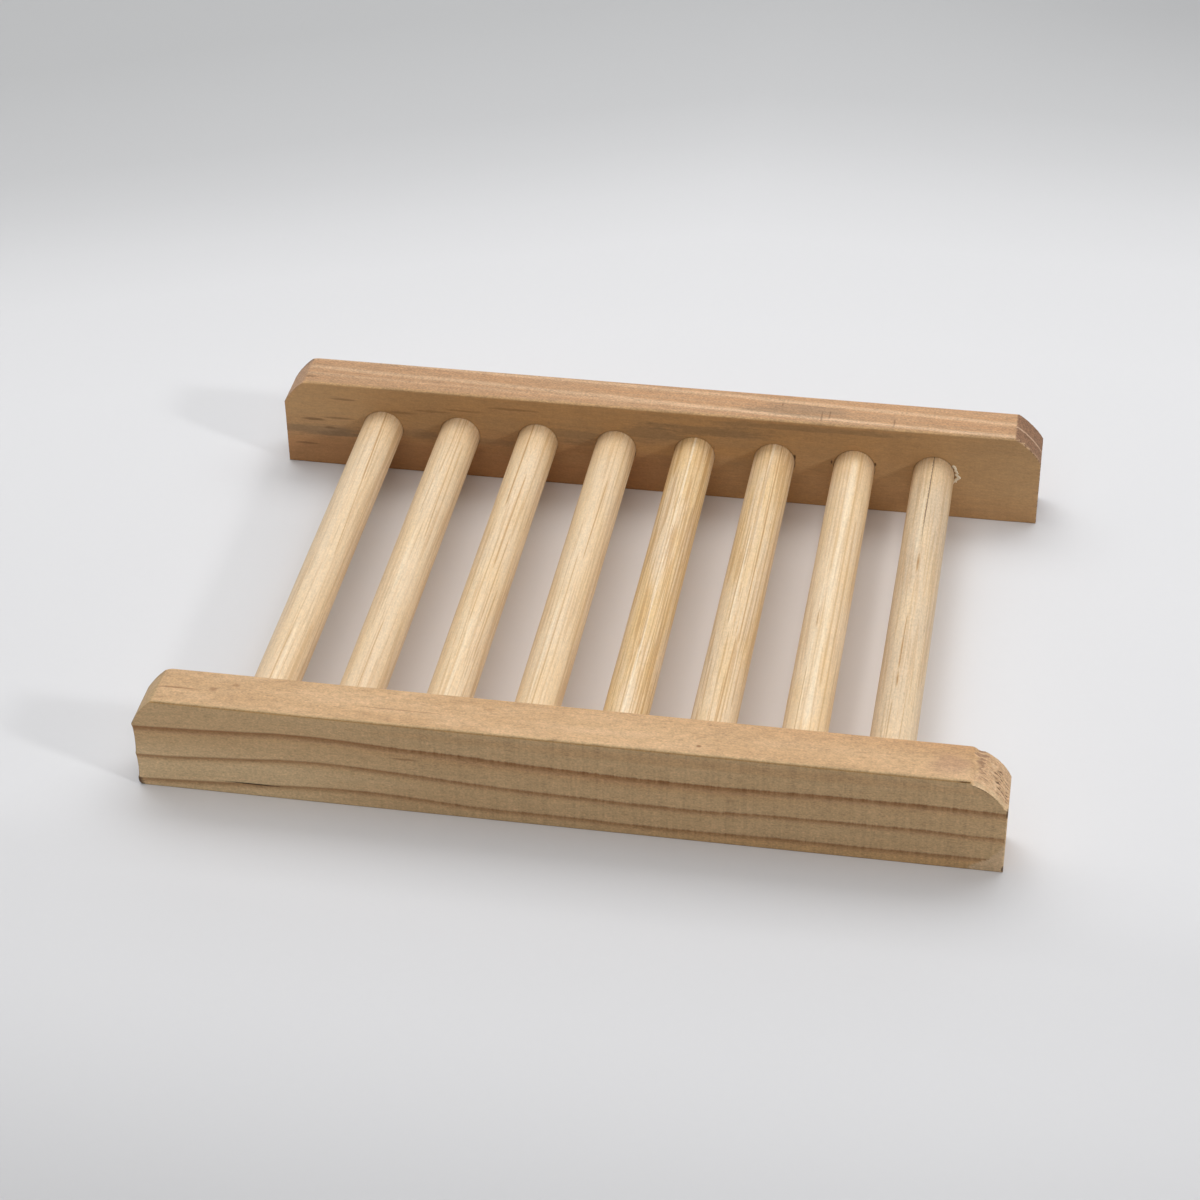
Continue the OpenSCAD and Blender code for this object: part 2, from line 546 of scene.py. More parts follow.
def press(piece, name, weight, depth, direction="NORMAL", grain=None, middle=0.0, shift=0.0):
    """Moves the surface by a depth in mm where the weights say. Grain is the noise's size along each axis."""
    group = weigh(piece, name, weight)
    settings = {"vertex_group": group.name, "strength": depth, "direction": direction, "mid_level": middle}
    space = None
    if grain is not None:
        texture = bpy.data.textures.new(name, "CLOUDS")
        texture.noise_scale = 1.0
        texture.noise_depth = 2
        bpy.ops.object.empty_add(location=(shift, shift, shift))
        space = bpy.context.active_object
        space.scale = grain
        bpy.context.view_layer.update()
        select_only(piece)
        settings.update({"texture": texture, "texture_coords": "OBJECT", "texture_coords_object": space})
    apply_modifier(piece, "DISPLACE", **settings)
    piece.vertex_groups.clear()
    if space is not None:
        bpy.data.objects.remove(space)
        bpy.data.textures.remove(texture)


def finish_piece(piece, material, slot, *nodes):
    """Brings a piece from millimetres to metres, smooths it, finishes it and lets it ride on the dish."""
    select_only(piece)
    piece.scale = (MM, MM, MM)
    bpy.ops.object.transform_apply(location=True, rotation=True, scale=True)
    bpy.ops.object.shade_smooth_by_angle(angle=SMOOTH_ANGLE)
    piece.data.materials.clear()
    piece.data.materials.append(material)
    if nodes:
        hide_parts(*nodes)
    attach(piece, "root")
    return piece


def dowel_axis(index, y):
    """Place across the dish of a dowel's axis, at a distance y from the middle, in millimetres."""
    low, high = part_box(DOWEL_NAMES[index])
    even = (low.x + high.x) / 2 / MM
    front, back = DOWEL_SHIFTS[index]
    share = (y + INNER) / (2 * INNER)
    return even + front + (back - front) * share


def smooth(value, low, high):
    share = min(1.0, max(0.0, (value - low) / (high - low)))
    return share * share * (3 - 2 * share)


def mark_end_grain(piece, half, arcs, ragged):
    """Stores how much of the surface is cut across the grain, before the ends are worn."""
    values = []
    for vertex in piece.data.vertices:
        x, y, z = vertex.co
        outside = abs(x) - half + 0.02
        for side, centre_x, centre_z, radius in arcs:
            if x * side > centre_x:
                outside = max(outside, math.hypot(x - side * centre_x, z - centre_z) - radius)
        fray = noise.noise(Vector((x * 0.5, y * 1.9, z * 1.9)))
        value = smooth(outside + fray * (ragged if x > 0 else 0.03), -0.14, -0.04)
        if x > 0:
            value *= smooth(x + fray * ragged * 4.0, half - 5.0, half - 4.6)
        values.append(value)
    layer = piece.data.attributes.new("end_grain", "FLOAT", "POINT")
    layer.data.foreach_set("value", values)


def shape_rail(
    name, box, inner_side, reaches, drop, radii, rails, dowels, steps, worn_corner, holes, ragged
):
    """A rail with rounded top corners, eased edges, fine ends for wear, and its sockets."""
    low = box[0] / MM
    high = box[1] / MM
    half = high.x
    ease = rails.ease / MM
    bpy.ops.object.select_all(action="DESELECT")
    bpy.ops.mesh.primitive_cube_add(size=1, location=(low + high) / 2, scale=high - low)
    rail = added(name)
    left = corner_arc(half, high.z, reaches[0], drop, radii[0])
    right = corner_arc(half, high.z, reaches[1], drop, radii[1])
    bpy.ops.object.mode_set(mode="EDIT")
    round_corner(-1, left, radii[0], rails.facets)
    round_corner(1, right, radii[1], rails.facets)
    arc_start = -half + reaches[0]

    def at_arc_start(a, b):
        return all(max(abs(end.x - arc_start), high.z - end.z) < NEAR for end in (a, b))

    def at_bottom_left(a, b):
        return all(max(end.x + half, end.z) < NEAR for end in (a, b))

    def round_a_face(a, b):
        return abs(a.y - b.y) < TOUCHING and (a.y < low.y + TOUCHING or a.y > high.y - TOUCHING)

    select_edges(rail, at_arc_start)
    bpy.ops.mesh.bevel(offset=rails.soft_corner / MM, segments=6, affect="EDGES", clamp_overlap=False)
    bpy.ops.mesh.select_all(action="SELECT")
    bpy.ops.mesh.remove_doubles(threshold=TOUCHING)
    if worn_corner:
        select_edges(rail, at_bottom_left)
        bpy.ops.mesh.bevel(offset=worn_corner, segments=5, affect="EDGES")
    select_edges(rail, round_a_face)
    bpy.ops.mesh.bevel(offset=ease, segments=3, affect="EDGES")
    end_step, middle_step, y_step, z_step = steps
    fine_left = half - reaches[0] - 1.5
    fine_right = half - reaches[1] - 1.5
    score(0, spaced(-half, -fine_left, end_step)[1:])
    score(0, spaced(-fine_left, fine_right, middle_step)[1:])
    score(0, spaced(fine_right, half, end_step)[1:-1])
    score(1, spaced(low.y + ease, high.y - ease, y_step)[1:-1])
    score(2, spaced(low.z + ease, high.z - ease, z_step)[1:-1])
    bpy.ops.object.mode_set(mode="OBJECT")
    arcs = [(-1, left[0], left[1], radii[0]), (1, right[0], right[1], radii[1])]
    mark_end_grain(rail, half, arcs, ragged)
    inner = low.y if inner_side < 0 else high.y
    bore_sockets(rail, inner, inner_side, dowels, holes)
    select_only(rail)
    return rail


def bore_sockets(rail, inner, inner_side, dowels, holes):
    """Cuts a blind socket for each dowel. A hole may be wider than its dowel, and a little off its axis."""
    bits = []
    for index, (wider, right, up) in enumerate(holes):
        bpy.ops.object.select_all(action="DESELECT")
        bpy.ops.mesh.primitive_cylinder_add(
            vertices=64,
            radius=DOWEL_RADIUS + dowels.socket_gap / MM + wider,
            depth=2 * dowels.socket_depth / MM,
            location=(dowel_axis(index, inner) + right, inner, DOWEL_HEIGHT + up),
            rotation=(math.radians(90), 0.0, 0.0),
        )
        bits.append(added("socket_bit"))
    for bit in bits:
        bit.select_set(True)
    bpy.ops.object.join()
    bit = bpy.context.active_object
    select_only(rail)
    apply_modifier(rail, "BOOLEAN", operation="DIFFERENCE", solver="EXACT", object=bit)
    bpy.data.objects.remove(bit)


def front_rail_wood(shades):
    """Pale brown wood with three dark growth lines that lie nearly level."""
    wood = Finish("front_rail_wood")
    x = wood.axis("X")
    y = wood.axis("Y")
    z = wood.axis("Z")
    fine = wood.noise((1.5, 2.6, 2.6), 3.0, 3.0, 0.65)
    speck = wood.noise((3.0, 4.4, 4.4), 11.0, 1.0, 0.5)
    blotch = wood.noise((0.5, 1.0, 1.0), 17.0, 2.0, 0.55)
    mottle = wood.noise((0.10, 0.35, 0.35), 5.0, 2.0, 0.55)
    drift = wood.noise((0.035, 0.12, 0.12), 9.0, 1.0, 0.5)
    ticks = wood.noise((1.7, 0.06, 0.09), 21.0, 3.0, 0.65)
    streak = wood.noise((0.16, 1.9, 1.9), 15.0, 3.0, 0.6)
    on_front = wood.rise(y, -44.5, -44.85)
    tick_zone = wood.rise(x + (mottle - 0.5) * 30.0, -38.0, -12.0) * on_front

    # Lines with a crisp upper edge, crossed by upright fibres that break them here and there
    wobble = (mottle - 0.5) * 0.30 + (fine - 0.5) * 0.30 + (ticks - 0.5) * tick_zone * 0.30
    lean = (y + OUTER) * 0.06
    line = 0.0
    shade = 0.0
    for points, (long, high, strong) in zip(GROWTH_LINES, GROWTH_LINE_LOOKS):
        below = wood.curve(x, points) + lean + wobble + high - z
        line_stops = (
            (-0.16, 0.0),
            (0.02, strong * 0.8),
            (0.14, strong),
            (0.20 + 0.3 * long, strong * 0.72),
            (0.40 + 0.5 * long, strong * 0.2),
            (0.50 + 0.7 * long, 0.0),
        )
        shade_stops = ((0.0, 0.0), (0.12, 1.0), (1.3 * long, 0.62), (2.0 * long, 0.22), (3.0 * long, 0.0))
        line = wood.math("MAXIMUM", line, wood.ramp(below, line_stops))
        shade = wood.math("MAXIMUM", shade, wood.ramp(below, shade_stops))
    redder = wood.spot((-2.0, -OUTER, 8.6), (27.0, 4.0, 2.2), (mottle - 0.5) * 0.8)
    upper = wood.spot((24.0, -OUTER, 13.5), (42.0, 2.0, 0.8), (mottle - 0.5) * 1.2)
    strip = wood.rise(z, 2.0, 1.4) * on_front * wood.rise(x, 0.0, 30.0)

    base = wood.mix(wood.rise(drift, 0.35, 0.68), shades.front_wood, tint(198, 160, 118))
    base = wood.mix(wood.rise(mottle, 0.42, 0.72) * 0.45, base, tint(221, 186, 146))
    base = wood.mix(on_front * 0.75, base, shades.front_olive)
    pale = on_front * wood.rise(x + (mottle - 0.5) * 20.0, -18.0, -42.0) * wood.rise(z, 9.0, 4.5)
    base = wood.mix(pale * 0.85, base, tint(222, 193, 150))
    base = wood.mix(shade * (0.36 + redder * 0.40) + upper * 0.30, base, shades.front_shade)
    base = wood.mix(strip * 0.5, base, tint(206, 160, 106))
    fibres = 0.97 + (streak - 0.5) * 0.5 + (ticks - 0.5) * tick_zone * 1.4
    base = wood.mix(line * fibres, base, shades.front_line)
    dashes = wood.rise(wood.noise((0.5, 2.4, 2.4), 27.0, 2.0, 0.5), 0.60, 0.70)
    base = wood.mix(dashes * 0.22, base, tint(150, 108, 70))

    # Soft colour along the top, and the marks that the photograph shows there
    on_top = wood.rise(z, 14.9, 15.12)
    warm = on_top * wood.rise(y + (mottle - 0.5) * 4.0, -42.0, -37.6) * wood.rise(x, -10.0, 45.0)
    base = wood.mix(warm * 0.35, base, tint(204, 150, 100))
    edge = wood.band(z + (fine - 0.5) * 0.2, 14.84, 15.02, 0.06) * on_front
    base = wood.mix(edge * 0.75, base, tint(194, 148, 82))
    knot = wood.spot((18.6, -43.2, TOP), (0.32, 0.22, 0.4)) * 1.2
    dark_marks = wood.spots(FRONT_MARKS, (streak - 0.5) * 1.4) + knot
    base = wood.mix(dark_marks * 0.62, base, tint(134, 88, 46))
    bruise = wood.spot((52.4, -42.5, TOP), (3.0, 2.2, 1.0), (mottle - 0.5) * 2.0)
    base = wood.mix(bruise * 0.45, base, tint(168, 128, 104))
    crack = wood.spot((-43.2, -OUTER, 2.12), (3.6, 0.6, 0.10), (fine - 0.5) * 0.8)
    base = wood.mix(crack * 0.95, base, tint(48, 32, 20))

    # Right end: torn fibres with dark slivers down the slope, and a pale ragged lip along its outer edge,
    # partly pale torn fibres and partly a painted highlight
    end = wood.node("ShaderNodeAttribute", {"attribute_name": "end_grain"}, {}, "Fac")
    pits = wood.noise((1.6, 4.4, 3.0), 31.0, 3.0, 0.65)
    sliver = wood.noise((0.75, 3.0, 0.75), 35.0, 1.0, 0.5)
    torn = wood.mix(wood.rise(pits, 0.34, 0.60), tint(188, 150, 115), tint(212, 176, 138))
    torn = wood.mix(wood.rise(sliver, 0.46, 0.36) * 0.5, torn, tint(228, 198, 162))
    low_patch = wood.spot((59.0, -41.6, 12.3), (1.5, 2.4, 1.9), (pits - 0.5) * 1.2, 0.3)
    cuts = wood.rise(sliver, 0.575, 0.62) * (low_patch * 0.8 + 0.05)
    torn = wood.mix(cuts, torn, tint(88, 58, 38))
    teeth = wood.noise((0.35, 1.9, 0.6), 37.0, 2.0, 0.5)
    root = wood.spot((55.9, -38.5, 15.0), (0.8, 1.2, 0.8), (teeth - 0.5) * 7.0, 0.25)
    root = root + wood.spot((55.8, -41.2, 15.0), (0.55, 2.8, 0.8), (teeth - 0.5) * 9.0, 0.25) * 0.8
    torn = wood.mix(wood.math("MINIMUM", root, 1.0) * 0.62, torn, tint(112, 74, 50))
    # Pale ragged lip: pale torn fibres and a painted highlight along the outer edge
    lip = wood.rise(y + (pits - 0.5) * 1.6, -43.8, -44.4)
    torn = wood.mix(lip * 0.7, torn, tint(222, 192, 152))

    # Left end: painted light, paler wood like the top's over its shaded arc in place of dark end grain, and
    # only its edge is greyer
    clean = wood.mix(wood.rise(pits, 0.36, 0.62), tint(180, 150, 110), tint(198, 168, 124))
    left = wood.rise(x, 0.0, -1.0)
    inset = wood.rise(x + (pits - 0.5) * 0.5, -58.9, -59.4)
    inset = wood.math("MAXIMUM", inset, wood.rise(y + (pits - 0.5) * 0.5, -38.6, -37.9))
    grain = wood.mix(left, torn, wood.mix(inset * 0.55, clean, tint(150, 128, 108)))
    base = wood.mix(end * 0.95 - left * end * 0.25 + left * end * inset * 0.2, base, grain)
    # Dark bottom left corner: wear, and painted shade where the corner meets the floor
    worn = wood.spot((-HALF_LENGTH, -44.2, 0.5), (0.75, 4.0, 1.0), (fine - 0.5) * 1.4, 0.35)
    base = wood.mix(worn * 0.85, base, tint(74, 52, 38))

    # Dark slivers at the right end: one on the top edge, two on the upright edge
    lifted = wood.spot((54.2, -44.9, 14.98), (1.0, 0.22, 0.10), (fine - 0.5) * 1.4, 0.5)
    base = wood.mix(lifted * 0.85, base, tint(92, 60, 30))
    split = wood.spots(SPLITS, (fine - 0.5) * 1.2, 0.4)
    base = wood.mix(wood.math("MINIMUM", split, 1.0) * 0.85, base, tint(62, 40, 24))

    # Saw ticks across the outer face, stronger to the right, where the face is darker
    tick = (wood.rise(ticks, 0.42, 0.66) - 0.4) * tick_zone
    light = 1.0 + (fine - 0.5) * 0.62 + (speck - 0.5) * 0.56 + (blotch - 0.5) * 0.30
    light = light + (streak - 0.5) * 0.20 - tick * 0.09 - on_front * wood.rise(x, -38.0, -12.0) * 0.09
    light = light - on_top * wood.rise(x, -20.0, -50.0) * 0.06 + on_front * 0.05
    light = light - on_top * wood.rise(x, 5.0, 30.0) * wood.rise(y, -41.6, -40.6) * 0.06
    base = wood.brighten(base, light - on_front * wood.rise(x, 15.0, 35.0) * 0.02)
    rough = 0.62 + (speck - 0.5) * 0.2
    height = fine * 0.8 + speck * 0.5 + streak * 0.3 - line * 0.5 - crack * 2.0 + end * pits * 0.8
    height = height - end * cuts * 2.0
    return wood.surface(base, rough, height, 0.55, 0.10, 0.25)


def back_rail_wood(shades):
    """Browner wood whose growth lines stand upright: stripes on its top, stains on its inner face."""
    wood = Finish("back_rail_wood")
    x = wood.axis("X")
    y = wood.axis("Y")
    z = wood.axis("Z")
    fine = wood.noise((0.9, 2.8, 2.8), 43.0, 3.0, 0.65)
    speck = wood.noise((2.8, 4.4, 4.4), 41.0, 1.0, 0.5)
    blotch = wood.noise((0.25, 1.2, 1.2), 53.0, 2.0, 0.55)
    mottle = wood.noise((0.07, 0.30, 0.30), 45.0, 2.0, 0.55)
    streak = wood.noise((0.10, 1.5, 1.5), 47.0, 3.0, 0.6)
    ticks = wood.noise((1.8, 0.12, 0.12), 49.0, 2.0, 0.6)

    wobble = (mottle - 0.5) * 0.9 + (speck - 0.5) * 0.25
    first = wood.curve(x, ((-60, 5.2), (-57, 5.0), (-30, 3.9), (0, 2.7), (30, 1.6), (60, 0.8)))
    second = wood.curve(x, ((-60, 7.6), (-30, 7.2), (0, 6.5), (25, 5.6), (54, 4.5), (60, 4.3)))
    third = wood.curve(x, ((-60, 3.2), (-30, 2.4), (0, 2.1), (12, 1.95), (30, 1.4), (60, 0.6)))
    depth = y - INNER + wobble
    stripes = wood.band(depth - first, -0.45, 0.45, 0.35)
    stripes = stripes + wood.band(depth - second, -0.5, 0.35, 0.3)
    stripes = stripes + wood.band(depth - third, -0.3, 0.3, 0.3) * 0.6
    base = wood.mix(wood.rise(streak, 0.35, 0.68), shades.back_wood, tint(186, 143, 104))
    base = wood.mix(stripes * 0.7, base, shades.back_pale)

    # Inner face: olive brown above, redder and darker below, partly redder wood and partly painted shade,
    # with a grey stain, dark streaks and small pits
    inner = wood.rise(y, 38.3, 37.7)
    low = wood.rise(z + (mottle - 0.5) * 6.0 + wood.rise(x, 20.0, 55.0) * 4.0, 10.5, 3.0)
    base = wood.mix(inner * 0.75, base, shades.back_olive)
    # Painted shade with redder wood, darker towards the bottom of the inner face, with less of it to the
    # right
    base = wood.mix(inner * low * (0.8 - wood.rise(x, -4.0, 14.0) * 0.5), base, shades.back_brown_and_shade)
    rag = (streak - 0.5) * 2.2 + (fine - 0.5) * 0.9
    stains = wood.spots(STAINS, rag)
    base = wood.mix(wood.math("MINIMUM", stains, 1.0) * 0.55, base, shades.stain)
    base = wood.mix(wood.spots(WARM_PATCHES, rag) * 0.4, base, tint(206, 158, 100))
    marks = wood.spots(END_DASHES, rag * 0.5) + wood.spots(UPPER_DASHES, rag * 0.6)
    marks = marks + wood.spot((-56.0, 39.5, TOP), (1.2, 0.2, 0.5))
    marks = marks + wood.spots(SAW_TICKS, rag * 0.4)
    base = wood.mix(wood.math("MINIMUM", marks, 1.0) * 0.6, base, tint(104, 74, 50))
    pits = wood.spots(PITS, rag * 0.3)
    base = wood.mix(wood.math("MINIMUM", pits, 1.0) * 0.85, base, tint(66, 44, 28))

    # Ends: dark end grain with one pale line that follows the arc, and a torn pale line at its inner edge
    end = wood.node("ShaderNodeAttribute", {"attribute_name": "end_grain"}, {}, "Fac")
    pores = wood.noise((2.0, 3.6, 3.6), 61.0, 3.0, 0.6)
    grain = wood.mix(wood.rise(pores, 0.36, 0.64), tint(116, 84, 62), tint(150, 112, 84))
    ring = wood.band(y + (pores - 0.5) * 0.4 + (TOP - z) * 0.09, 41.0, 41.35, 0.14)
    grain = wood.mix(ring * 0.8, grain, tint(206, 174, 146))
    torn = wood.band(y + (pores - 0.5) * 2.6, 37.3, 38.0, 0.25)
    grain = wood.mix(torn * wood.rise(fine, 0.42, 0.54) * 0.8, grain, tint(214, 178, 136))
    clean = wood.mix(wood.rise(pores, 0.36, 0.64), tint(166, 130, 102), tint(192, 154, 120))
    left = wood.rise(x, 0.0, -1.0)
    grain = wood.mix(left, grain, clean)
    base = wood.mix(end * 0.95, base, grain)
    rim = left * end * wood.rise(y, 43.4, 44.8)
    base = wood.mix(rim * 0.7, base, tint(110, 92, 80))

    # Painted light: the inner face is lighter at both ends, away from the dowels' shade, and the top lightens
    # to the right
    light = 1.0 + (fine - 0.5) * 0.40 + (speck - 0.5) * 0.30 + (blotch - 0.5) * 0.20
    light = light + (streak - 0.5) * 0.26 - (ticks - 0.5) * 0.08
    light = light + inner * (wood.rise(x, 5.0, 30.0) * 0.05 + wood.rise(x, -42.0, -50.0) * 0.13)
    upper = wood.rise(x, 12.0, 24.0) * wood.rise(z, 11.6, 12.6)
    light = light - inner * (wood.rise(x, 45.0, 50.0) + upper) * 0.06
    on_top = wood.rise(z, 14.9, 15.12)
    grainy = (speck - 0.5) * 0.60 + (fine - 0.5) * 0.30 + (streak - 0.5) * 0.20
    light = light + on_top * (grainy + wood.rise(x, -45.0, 30.0) * 0.11 - 0.09)
    light = light - on_top * wood.rise(x, 12.0, 26.0) * wood.rise(y, 41.6, 40.6) * 0.07
    base = wood.brighten(base, light)
    rough = 0.62 + (speck - 0.5) * 0.2
    height = fine * 0.8 + speck * 0.4 + streak * 0.3 + end * pores * 0.8
    return wood.surface(base, rough, height, 0.5, 0.10, 0.25)


# Lines of each dowel: where each starts and ends along it, from 0 at the front rail to 1 at the back rail,
# its angle at both places in degrees, 90 on top, its half width in mm, and its strength. Below 0 it is a pale
# streak, partly a painted highlight near the top.
DOWEL_LINES = (
    (
        (0.05, 0.22, 88, 86, 0.09, 0.6), (0.22, 0.45, 86, 82, 0.07, 0.35), (0.06, 0.18, 70, 69, 0.07, 0.35),
        (0.42, 0.64, 108, 107, 0.06, 0.3), (0.50, 0.78, 59, 68, 0.08, 0.6), (0.76, 1.0, 68, 76, 0.10, 0.9),
        (0.76, 1.0, 61, 67, 0.07, 0.5), (0.05, 0.26, 40, 37, 0.30, 0.35), (0.05, 0.24, 78, 77, 0.14, -0.5),
    ),
    (
        (0.05, 0.27, 83, 82, 0.08, 0.7), (0.27, 0.42, 82, 80, 0.06, 0.3), (0.31, 0.45, 95, 95, 0.06, 0.3),
        (0.32, 0.60, 114, 113, 0.06, 0.3), (0.58, 1.0, 62, 68, 0.08, 0.65), (0.55, 0.90, 49, 52, 0.10, 0.5),
        (0.66, 0.77, 98, 97, 0.07, 0.6), (0.80, 1.0, 88, 84, 0.08, 0.6), (0.82, 1.0, 76, 75, 0.06, 0.5),
        (0.40, 0.75, 90, 90, 0.22, -0.5),
    ),
    (
        (0.71, 1.0, 100, 98, 0.10, 0.9), (0.31, 0.58, 90, 88, 0.08, 0.6), (0.36, 0.56, 104, 103, 0.07, 0.35),
        (0.50, 0.80, 75, 73, 0.09, 0.8), (0.32, 0.58, 62, 60, 0.09, 0.7), (0.21, 0.41, 47, 44, 0.09, 0.6),
        (0.08, 0.23, 42, 40, 0.10, 0.5), (0.13, 0.22, 60, 59, 0.07, 0.35), (0.70, 1.0, 51, 49, 0.09, 0.45),
        (0.05, 0.30, 84, 82, 0.25, -0.6),
    ),
    (
        (0.05, 0.54, 91, 90, 0.08, 0.65), (0.06, 0.60, 109, 107, 0.06, 0.45), (0.55, 0.81, 72, 70, 0.08, 0.8),
        (0.06, 0.15, 74, 73, 0.06, 0.4), (0.49, 0.68, 51, 50, 0.08, 0.35), (0.80, 1.0, 47, 46, 0.08, 0.5),
        (0.10, 0.48, 31, 30, 0.16, 0.45), (0.76, 1.0, 110, 109, 0.06, 0.35),
        (0.05, 0.60, 101, 100, 0.12, -0.6),
    ),
    (
        (0.05, 0.84, 94, 92, 0.07, 0.6), (0.05, 1.0, 87, 85, 0.15, -0.9), (0.08, 1.0, 71, 70, 0.07, 0.6),
        (0.05, 0.55, 64, 62, 0.06, 0.55), (0.12, 1.0, 56, 57, 0.07, 0.6), (0.05, 0.66, 49, 47, 0.09, 0.75),
        (0.08, 1.0, 38, 36, 0.13, 0.75), (0.05, 0.45, 107, 106, 0.07, 0.4),
        (0.20, 0.70, 119, 118, 0.08, 0.35), (0.30, 0.80, 101, 100, 0.06, 0.35),
    ),
    (
        (0.39, 0.60, 102, 101, 0.08, 0.75), (0.57, 1.0, 95, 94, 0.07, 0.6), (0.26, 0.48, 85, 84, 0.07, 0.35),
        (0.33, 1.0, 65, 68, 0.09, 0.85), (0.05, 0.32, 74, 73, 0.09, 0.8), (0.12, 0.42, 58, 57, 0.07, 0.55),
        (0.33, 1.0, 40, 38, 0.14, 0.6), (0.66, 1.0, 89, 88, 0.14, -0.8), (0.38, 0.70, 98, 97, 0.12, -0.7),
        (0.20, 0.60, 112, 110, 0.07, 0.35), (0.30, 0.90, 51, 50, 0.07, 0.45),
    ),
    (
        (0.05, 0.26, 112, 111, 0.06, 0.6), (0.05, 0.60, 108, 107, 0.08, -0.5), (0.22, 1.0, 67, 66, 0.13, 0.5),
        (0.08, 0.75, 51, 50, 0.13, 0.5), (0.58, 1.0, 96, 95, 0.12, 0.35), (0.70, 1.0, 108, 106, 0.14, 0.35),
        (0.40, 0.43, 106, 106, 0.12, 0.8), (0.10, 0.95, 84, 83, 0.35, -0.7),
    ),
    (
        (0.24, 0.26, 99, 99, 0.12, 1.0), (0.29, 0.37, 100, 99, 0.09, 1.0), (0.38, 0.44, 99, 98, 0.08, 0.8),
        (0.08, 0.17, 104, 103, 0.08, 0.6), (0.06, 0.24, 111, 110, 0.06, 0.5), (0.61, 0.64, 91, 91, 0.12, 1.0),
        (0.08, 0.22, 72, 71, 0.07, 0.45), (0.66, 0.84, 102, 100, 0.22, -0.6),
        (0.06, 0.27, 44, 43, 0.09, -0.4), (0.25, 0.60, 38, 36, 0.16, 0.35),
    ),
)

# Fine stripes, yellowness, greyness and brightness of each dowel
DOWEL_LOOKS = (
    (0.35, 0.05, 0.15, 1.0),
    (0.5, 0.15, 0.1, 1.0),
    (0.7, 0.25, 0.0, 1.0),
    (0.5, 0.25, 0.05, 1.01),
    (1.5, 1.0, 0.0, 0.99),
    (1.2, 0.65, 0.05, 0.99),
    (0.5, 0.35, 0.0, 1.02),
    (0.5, 0.05, 0.7, 0.97),
)


def dowel_wood(index, shades):
    """Cream wood with fine broken lines along the dowel."""
    wood = Finish(f"dowel_wood_{index + 1}")
    stripes, yellow, grey, bright = DOWEL_LOOKS[index]
    seed = 13.0 * index
    y = wood.axis("Y")
    share = (y + INNER) * (1 / (2 * INNER))
    front = dowel_axis(index, -INNER)
    back = dowel_axis(index, INNER)
    across = wood.axis("X") - (share * (back - front) + front)
    up = wood.axis("Z") - DOWEL_HEIGHT
    angle = wood.math("ARCTAN2", up, across)
    fine = wood.noise((4.5, 0.14, 4.5), seed + 2.0, 3.0, 0.6)
    broad = wood.noise((0.9, 0.022, 0.9), seed + 5.0, 2.0, 0.5)
    hair = wood.noise((7.0, 0.6, 7.0), seed + 7.0, 2.0, 0.6)
    speck = wood.noise((3.4, 2.0, 3.4), seed + 9.0, 2.0, 0.6)
    mottle = wood.noise((0.35, 0.06, 0.35), seed + 15.0, 2.0, 0.5)

    honey = wood.rise(mottle, 0.3, 0.7) * (0.2 + yellow * 0.75)
    base = wood.mix(honey, shades.dowel_wood, tint(231, 195, 138))
    base = wood.mix(wood.rise(broad, 0.35, 0.75) * 0.3, base, tint(241, 221, 190))
    base = wood.mix(wood.rise(mottle, 0.75, 0.3) * grey * 0.8, base, tint(212, 188, 158))
    # Darker and yellower towards the back rail
    base = wood.mix(wood.rise(y, 27.0, 34.0) * 0.36, base, tint(222, 184, 134))
    veins = wood.noise((2.7, 0.05, 2.7), seed + 3.0, 1.0, 0.5)
    # Denser lines on both flanks, which also act as painted shade on the dowel's sides
    flank_lines_and_shade = wood.rise(wood.math("ABSOLUTE", angle - math.radians(90), 0.0), 0.8, 1.2)
    line = wood.rise(fine, 0.54, 0.74) * (0.16 + 0.5 * stripes)
    line = wood.math("MAXIMUM", line, wood.rise(veins, 0.54, 0.64) * (0.14 + 0.34 * stripes))
    line = wood.math("MAXIMUM", line, wood.rise(veins, 0.42, 0.60) * flank_lines_and_shade * 0.42)
    soaked = wood.rise(y + (hair - 0.5) * 2.0, 35.4, 37.0) * wood.rise(fine, 0.44, 0.60)
    line = wood.math("MAXIMUM", line, soaked * 0.5)
    pale_streak_and_highlight = 0.0
    waver = (broad - 0.5) * 0.5
    for start, end, first_angle, last_angle, width, strength in DOWEL_LINES[index]:
        turn = math.radians(last_angle - first_angle) / (end - start)
        middle = math.radians(first_angle) - turn * start
        away = wood.math("ABSOLUTE", (angle - (share * turn + middle)) * DOWEL_RADIUS + waver, 0.0)
        near = wood.rise(away, 2.0 * width, 0.3 * width)
        near = near * wood.band(share + (hair - 0.5) * 0.05, start - 0.01, end + 0.01, 0.02) * abs(strength)
        if strength > 0:
            line = wood.math("MAXIMUM", line, near)
        else:
            pale_streak_and_highlight = wood.math("MAXIMUM", pale_streak_and_highlight, near)
    line = line * (0.9 + (hair - 0.5) * 0.8)
    # Pale streaks, partly painted highlights along the top of the dowel
    base = wood.mix(pale_streak_and_highlight * 0.8, base, tint(248, 230, 200))
    base = wood.mix(line, base, shades.dowel_line)
    if index == len(DOWEL_NAMES) - 1:
        away = (angle - math.radians(91)) * DOWEL_RADIUS + waver + (speck - 0.5) * 0.22
        split = wood.rise(wood.math("ABSOLUTE", away, 0.0), 0.11, 0.03)
        split = split * wood.rise(share + (fine - 0.5) * 0.3, 0.62, 0.85)
        base = wood.mix(split * 0.8, base, tint(92, 66, 44))
        line = line + split * 3.0
    light = bright - 0.02 + (fine - 0.5) * 0.34 + (hair - 0.5) * 0.36 + (speck - 0.5) * (0.34 + 0.16 * grey)
    base = wood.brighten(base, light - wood.rise(share, 0.45, 0.8) * (0.01 + 0.06 * grey))
    rough = 0.55 + (speck - 0.5) * 0.2
    height = hair * 0.8 + fine * 0.6 + speck * 0.4 - line * 0.5
    return wood.surface(base, rough, height, 0.4, 0.08, 0.3)


